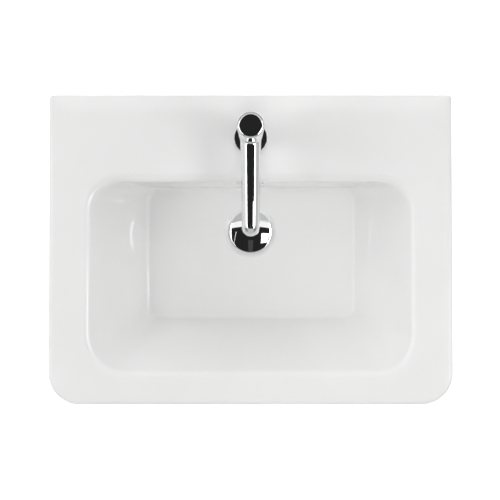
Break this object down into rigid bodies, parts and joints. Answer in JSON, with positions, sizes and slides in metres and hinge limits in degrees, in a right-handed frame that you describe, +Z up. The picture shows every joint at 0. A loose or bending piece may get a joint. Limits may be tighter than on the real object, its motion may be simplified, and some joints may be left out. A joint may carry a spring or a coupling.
{
  "type": "washbasin",
  "caption": "Rectangular wall-hung ceramic washbasin with a chromed single-hole mixer, a cap handle that turns and lifts, and a click waste with a domed cap.",
  "frame": {"origin": "on the wall plane, midway between the two wall bolt holes, 70 mm below the rim", "axes": "+X to the right seen from the front, along the long side; +Y into the wall, along the wall bolts; +Z up"},
  "size_m": [0.6, 0.46, 0.341],
  "materials": {
    "glaze": "white glaze, high gloss",
    "chrome": "bright chrome plate on brass",
    "handle_chrome": "bright chrome plate",
    "waste_chrome": "bright chrome plate on brass",
    "cap_chrome": "bright chrome plate",
    "zinc_steel": "zinc plated",
    "bright_steel": "bright drawn steel",
    "bare_brass": "turned brass",
    "black_rubber": "matt rubber",
    "moulded_plastic": "moulded acetal",
    "dark_plastic": "moulded plastic",
    "plug_plastic": "plain grey plug",
    "disc_ceramic": "lapped alumina"
  },
  "bodies": {
    "root": {"basin": "glaze", "tap_body": "chrome", "base_flange": "chrome", "base_gasket": "black_rubber", "fixing_stud": "zinc_steel", "horseshoe_gasket": "black_rubber", "horseshoe_washer": "zinc_steel", "fixing_nut": "zinc_steel", "cartridge_housing": "moulded_plastic", "port_seals": "black_rubber", "fixed_disc": "disc_ceramic", "cartridge_nut": "bare_brass", "cover_ring": "chrome", "aerator_housing": "chrome", "aerator_insert": "moulded_plastic", "aerator_washer": "black_rubber", "waste_body": "waste_chrome", "waste_seal": "black_rubber", "boss_seal": "black_rubber", "slip_washer": "moulded_plastic", "lock_nut": "bare_brass", "click_body": "moulded_plastic", "click_spring": "bright_steel"},
    "mixer_sleeve": {"cartridge_carrier": "moulded_plastic", "lever_pin": "bright_steel"},
    "mixer_handle": {"cartridge_lever": "bright_steel", "handle": "handle_chrome", "grub_screw": "zinc_steel", "index_plug": "plug_plastic"},
    "mixer_disc": {"moving_disc": "disc_ceramic", "disc_driver": "dark_plastic"},
    "waste_plug": {"waste_cap": "cap_chrome", "cap_seal": "black_rubber", "click_plunger": "bright_steel"}
  },
  "joints": [
    {"name": "mixing_turn", "type": "hinge", "parent": "root", "child": "mixer_sleeve", "pos_m": [0, -0.065, 0.174], "axis": [0, 0, 1], "range_deg": [-45, 45]},
    {"name": "handle_lift", "type": "hinge", "parent": "mixer_sleeve", "child": "mixer_handle", "pos_m": [0, -0.065, 0.174], "axis": [-1, 0, 0], "range_deg": [0, 18]},
    {"name": "disc_slide", "type": "slide", "parent": "mixer_sleeve", "child": "mixer_disc", "axis": [0, -1, 0], "range_m": [0, 0.0044]},
    {"name": "waste_click", "type": "slide", "parent": "root", "child": "waste_plug", "axis": [0, 0, 1], "range_m": [0, 0.008], "deforming": ["click_spring"]}
  ],
  "couplings": [
    {"joint": "disc_slide", "follows": "handle_lift", "m_per_rad": 0.013942}
  ]
}
